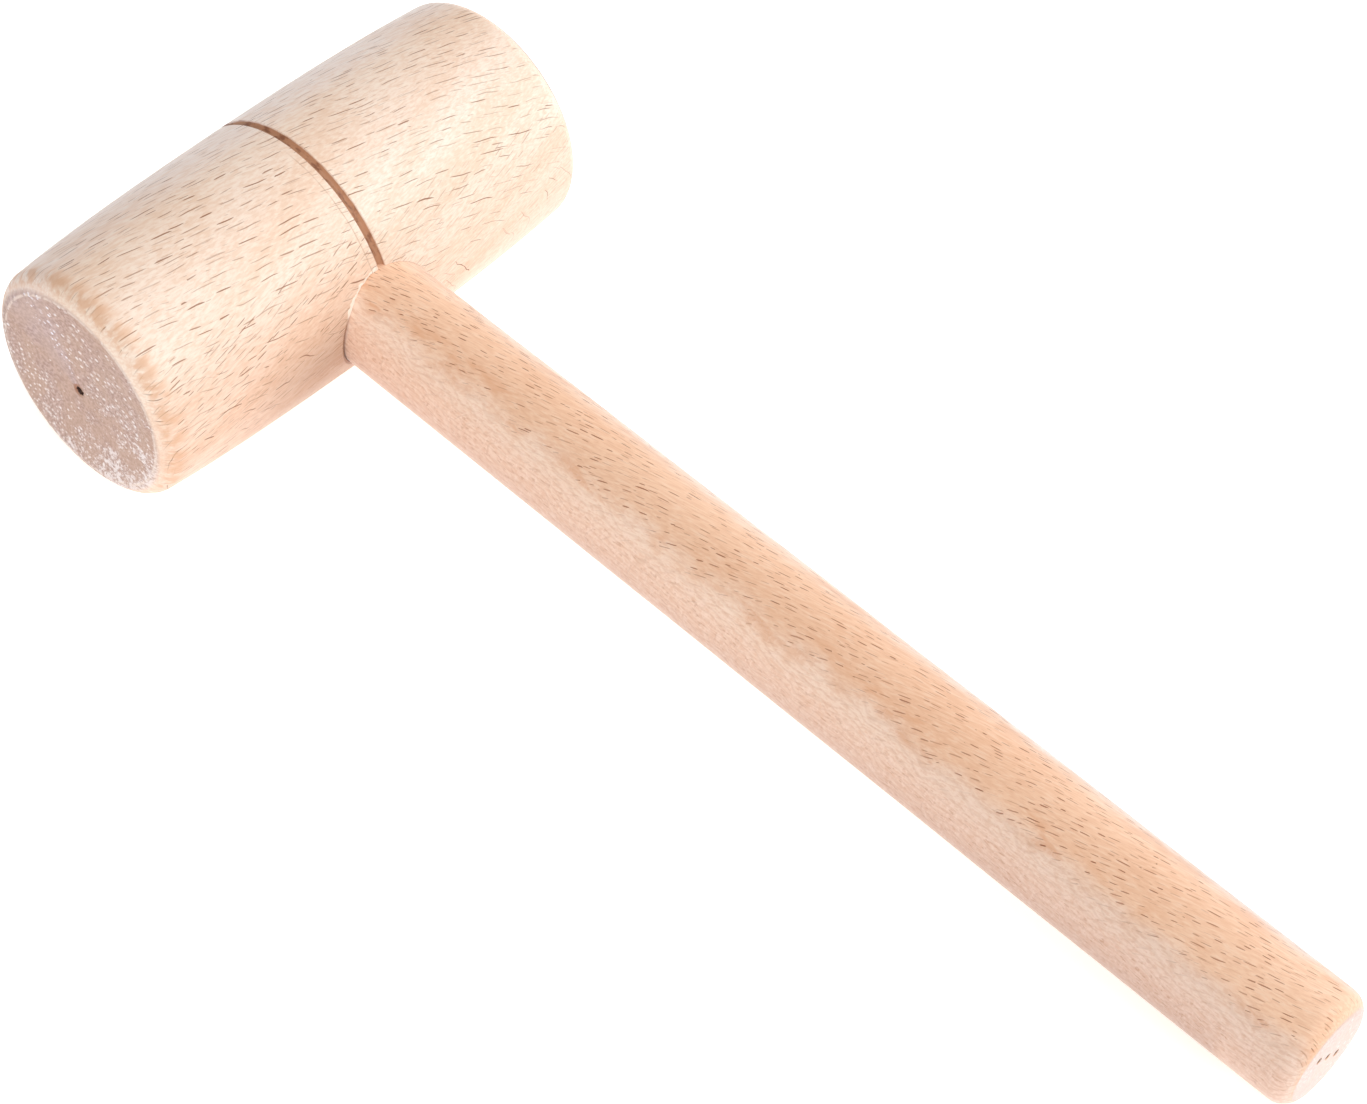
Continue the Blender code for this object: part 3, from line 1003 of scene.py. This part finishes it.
def score_line(s, wood, grain):
    """A faint turned line beside the groove."""
    x, y, z = s.parts(s.even(1.0))
    stray = s.noise(s.combine(0.0, s.times(y, 0.12), s.times(z, 0.12)))
    away = s.math("ABSOLUTE", s.less(s.add(x, s.times(s.less(stray, 0.5), 0.5)), SCORE_X / MM))
    line = s.times(s.smooth(away, 0.17, 0.05), s.smooth(y, 2.0, -4.0), s.smooth(stray, 0.30, 0.45))
    return s.blend(s.times(line, 0.55), wood, srgb(196, 158, 130))


def face_hole_shade_and_rim_highlight(s, wood, grain):
    """Painted shade: dark colour inside the centre holes, with a brown lip around each. A pale broken line
    around each striking face's rim, partly scuffed wood and partly a painted highlight of the edge. Tan
    patches on the near rounding."""
    x, y, z = s.parts(s.even(1.0))
    half = HEAD_HALF / MM
    rim = HEAD_RIM / MM
    end = s.math("ABSOLUTE", x)
    radius = s.hypot(y, z)
    lip = s.times(s.smooth(end, half - 1.0, half - 0.5), s.smooth(radius, 1.75, 1.25))
    wood = s.blend(s.times(lip, s.smooth(y, -1.5, 1.5, 0.2, 1.0)), wood, srgb(168, 112, 84))
    # Painted shade inside each centre hole.
    sunk = s.times(s.smooth(end, half - 0.05, half - 0.25), s.smooth(radius, 1.6, 1.3))
    wood = s.blend(sunk, wood, srgb(58, 28, 18))
    scuff = s.noise(s.combine(s.times(x, 0.2), s.times(y, 0.7), s.times(z, 0.7)), detail=3.0)
    # Pale rim line: scuffed wood, partly a painted highlight of the edge.
    line = s.times(s.smooth(radius, rim - 0.35, rim - 0.05), s.smooth(radius, rim + 0.5, rim + 0.1))
    line = s.times(line, s.smooth(end, half - 0.5, half - 0.3), s.smooth(scuff, 0.35, 0.55))
    wood = s.blend(s.times(line, 0.7), wood, srgb(240, 222, 210))
    rounding = s.times(s.smooth(end, half - 5.5, half - 2.5), s.smooth(end, half - 0.2, half - 1.2))
    rounding = s.times(rounding, s.smooth(scuff, 0.38, 0.62), s.smooth(x, 10.0, -10.0))
    return s.blend(s.times(rounding, 0.7), wood, srgb(226, 176, 138))


def handle_rim_reflection_and_under_shade(s, wood, grain):
    """Painted reflection makes the handle paler along its upper far edge, and painted shade darkens its
    underside.
    Towards the butt, where the cut lies on the rays, it is a little darker and greyer."""
    x, y, z = s.parts(s.even(1.0))
    # Painted reflection along the handle's upper far edge.
    far = s.times(s.smooth(facing(s, x, z, (0.87, 0.5)), 0.72, 1.0), s.smooth(y, -222.0, -219.0))
    wood = s.tint(far, wood, (0.97, 1.10, 1.26, 1.0))
    # Painted shade on the handle's underside.
    under = s.times(s.smooth(z, 5.0, -4.0), s.smooth(y, -219.0, -216.0))
    wood = s.tint(under, wood, srgb(230, 225, 224))
    greyer_to_butt = s.times(s.smooth(y, -100.0, -215.0), s.smooth(grain.on_ray, 0.45, 0.75))
    return s.tint(greyer_to_butt, wood, srgb(237, 236, 238))


def butt_hole_shade(s, wood, grain):
    """Painted shade: dark colour inside the three marks of the drive centre."""
    x, y, z = s.parts(s.even(1.0))
    butt = -HANDLE_LENGTH / MM
    sunk = s.smooth(y, butt + 0.08, butt + 0.25)
    near = s.times(s.smooth(y, butt + 3.0, butt + 2.5), s.smooth(s.hypot(x, z), 5.6, 5.2))
    # Painted shade inside the drive centre's holes.
    return s.blend(s.times(sunk, near), wood, srgb(52, 30, 20))


# ---------------------------------------------------------------- looks of the pieces
BLOTCHES = Dashes((11.0, 3.5, 9.0), (0.5, 1.5), (0.25, 0.55), share=0.4, shift=5.9, soft=0.5)
FRONT_DASHES = Dashes((4.2, 0.9, 8.0), (0.7, 1.9), (0.05, 0.11), share=0.85, shift=21.3)
HEAD_DASH_COLOUR = srgb(150, 98, 66)

# The grain's direction and the pith's place, in millimetres, are in the mallet's own axes. The
# fibres wander by sway and ripple, and year rings are a band wide, all in millimetres. Thin is
# how fast dashes narrow where the cut lies flatter on the rays. Other numbers are shares.
HEAD_LOOK = {
    "along": (0.958, -0.171, 0.228),
    "pith": (0.0, -10.7, -46.3),
    "thin": 0.5,
    "sway": 1.6,
    "ripple": 0.07,
    "band": 5.0,
    "pale": srgb(249, 226, 208),
    "tan": srgb(243, 213, 190),
    "fibre": 0.36,
    "fibre_colour": srgb(230, 190, 158),
    "light_fibre": 0.34,
    "light_colour": srgb(255, 240, 222),
    "streak": 0.0,
    "streak_colour": srgb(205, 160, 134),
    "dashes": Dashes((6.6, 1.0, 12.0), (1.0, 2.8), (0.06, 0.10), share=0.95, shift=3.1),
    "dash": 0.95,
    "small_dashes": Dashes((4.2, 0.7, 8.0), (0.5, 1.5), (0.02, 0.05), share=0.75, shift=11.7),
    "small_dash": 0.6,
    "dash_colour": HEAD_DASH_COLOUR,
    "dash_on_ray": 1.0,
    "on_ray": (0.60, 0.95),
    "wave": 0.0,
    "ray_face": 0.0,
    "ray_face_colour": srgb(248, 222, 202),
    "ray_flat_shaded_colour": srgb(248, 222, 202),
    "silver": 0.25,
    "silver_colour": srgb(252, 232, 214),
    "blotch": 0.0,
    "contour": 0.0,
    "blotch_colour": srgb(196, 154, 130),
    "seam": 0.0,
    "seam_colour": srgb(234, 196, 168),
    "end_from": 0.80,
    "end_to": 0.93,
    "end_dark": srgb(177, 142, 129),
    "end_pale": srgb(205, 174, 162),
    "end_tan": srgb(201, 165, 142),
    "chalk": srgb(246, 236, 234),
    "dust_towards": (0.0, -0.006, -0.006),
    "roughness": 0.52,
    "relief": 0.06 * MM,
    "specular": 0.5,
    "sheen": 0.25,
    "marks": (painted_highlight_and_rim_light, handle_side_tan_and_shadow, front_dashes, eye_edge_highlight_and_gap_shade, groove_burn, score_line, face_hole_shade_and_rim_highlight),
}

HANDLE_LOOK = dict(
    HEAD_LOOK,
    along=(-0.24, 0.965, 0.08),
    pith=(-25.0, -115.0, -300.0),
    thin=0.25,
    ripple=0.14,
    band=14.0,
    pale=srgb(246, 203, 171),
    tan=srgb(241, 194, 160),
    fibre=0.34,
    fibre_colour=srgb(224, 170, 134),
    light_fibre=0.28,
    light_colour=srgb(252, 224, 202),
    streak=0.55,
    streak_colour=srgb(204, 150, 118),
    dashes=Dashes((4.0, 0.9, 8.0), (0.5, 1.4), (0.06, 0.11), share=0.85, shift=3.1),
    dash_colour=srgb(152, 84, 50),
    dash_on_ray=0.15,
    on_ray=(0.45, 0.83),
    wave=0.4,
    ray_face=0.85,
    ray_face_colour=srgb(255, 228, 208),
    ray_flat_shaded_colour=srgb(243, 208, 187),
    silver=0.5,
    silver_colour=srgb(255, 224, 206),
    blotch=0.4,
    contour=0.2,
    blotch_colour=srgb(206, 156, 124),
    seam=0.6,
    seam_colour=srgb(228, 170, 130),
    end_dark=srgb(214, 184, 173),
    end_pale=srgb(227, 202, 192),
    end_tan=srgb(228, 196, 178),
    chalk=srgb(242, 230, 224),
    dust_towards=(0.0, 0.0, 0.0),
    sheen=0.45,
    marks=(handle_rim_reflection_and_under_shade, butt_hole_shade),
)

WEDGE_LOOK = dict(
    HANDLE_LOOK,
    along=(0.06, 1.0, 0.03),
    pith=(-40.0, 0.0, 12.0),
    pale=srgb(186, 138, 98),
    tan=srgb(160, 112, 76),
    fibre_colour=srgb(132, 88, 58),
    dash_colour=srgb(104, 66, 42),
    end_dark=srgb(128, 84, 56),
    end_pale=srgb(160, 112, 78),
    end_tan=srgb(150, 104, 70),
    chalk=srgb(196, 156, 122),
    marks=(),
)


def dress(thing, slot, look, node):
    """Give a piece its material and its body, and hide the CAD node that it stands for."""
    thing.data.materials.clear()
    thing.data.materials.append(beech(slot, look))
    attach(thing, "root")
    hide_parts(node)


# ---------------------------------------------------------------- studio
WHITE = (1.0, 1.0, 1.0, 1.0)
TABLE_SIDE = 6.0
TABLE_GLOW = 0.5
TENT_GLOW = 0.28

# Each light's name, place, width and power.
LIGHTS = (
    ("overhead", (0.0, -0.75, 1.45), 1.5, 12.5),
    ("right", (1.5, -0.3, 0.8), 1.2, 18.4),
    ("left", (-1.3, -0.6, 0.9), 1.2, 8.6),
)

CAMERA_AIM = Vector((-0.00044, 0.00906, 0.01836))
CAMERA_DISTANCE = 0.65751
CAMERA_HEADING = math.radians(49.345)
CAMERA_ELEVATION = math.radians(49.888)
CAMERA_ROLL = math.radians(-3.066)
CAMERA_LENS = 103.5


def make_floor():
    """A wide pale table top."""
    side = TABLE_SIDE
    corners = [(-side, -side, 0), (side, -side, 0), (side, side, 0), (-side, side, 0)]
    mesh = bpy.data.meshes.new("table_top")
    mesh.from_pydata(corners, [], [(0, 1, 2, 3)])
    floor = link_new("table_top", mesh)
    s = Shader("table_white")
    grit = s.noise(s.vector("SCALE", s.place, scale=900.0), detail=1.0)
    roughness = s.math("MULTIPLY_ADD", grit, 0.1, 0.75)
    surface = s.finish(srgb(250, 250, 250), roughness, grit, depth=0.01 * MM, specular=0.2)
    surface.inputs["Emission Color"].default_value = WHITE
    surface.inputs["Emission Strength"].default_value = TABLE_GLOW
    mesh.materials.append(s.material)


def make_light(name, location, size, power):
    """A soft white square light aimed at the mallet."""
    data = bpy.data.lights.new(name, "AREA")
    data.shape = "SQUARE"
    data.size = size
    data.energy = power
    light = link_new(name, data)
    light.location = location
    light.rotation_euler = (-Vector(location)).to_track_quat("-Z", "Y").to_euler()


def make_world():
    """The white tent around the table."""
    world = bpy.data.worlds.new("studio")
    world.use_nodes = True
    background = world.node_tree.nodes["Background"]
    background.inputs["Color"].default_value = WHITE
    background.inputs["Strength"].default_value = TENT_GLOW
    bpy.context.scene.world = world


def make_camera():
    """Looks across the near striking face and down the handle."""
    flat = math.cos(CAMERA_ELEVATION)
    look = Vector((
        flat * math.sin(CAMERA_HEADING), flat * math.cos(CAMERA_HEADING), -math.sin(CAMERA_ELEVATION)
    ))
    data = bpy.data.cameras.new("camera")
    data.lens = CAMERA_LENS
    data.sensor_width = 36.0
    data.clip_start = 0.01
    data.clip_end = 50.0
    camera = link_new("camera", data)
    turn = look.to_track_quat("-Z", "Y").to_matrix().to_4x4()
    roll = Matrix.Rotation(-CAMERA_ROLL, 4, "Z")
    camera.matrix_world = Matrix.Translation(CAMERA_AIM - look * CAMERA_DISTANCE) @ turn @ roll
    bpy.context.scene.camera = camera


dress(make_head(), "head_beech", HEAD_LOOK, "mallet_head")
dress(make_handle(), "handle_beech", HANDLE_LOOK, "handle")
dress(make_wedge(), "wedge_hardwood", WEDGE_LOOK, "wedge")
make_floor()
make_world()
for light in LIGHTS:
    make_light(*light)
make_camera()
bpy.context.scene.view_settings.view_transform = "Standard"
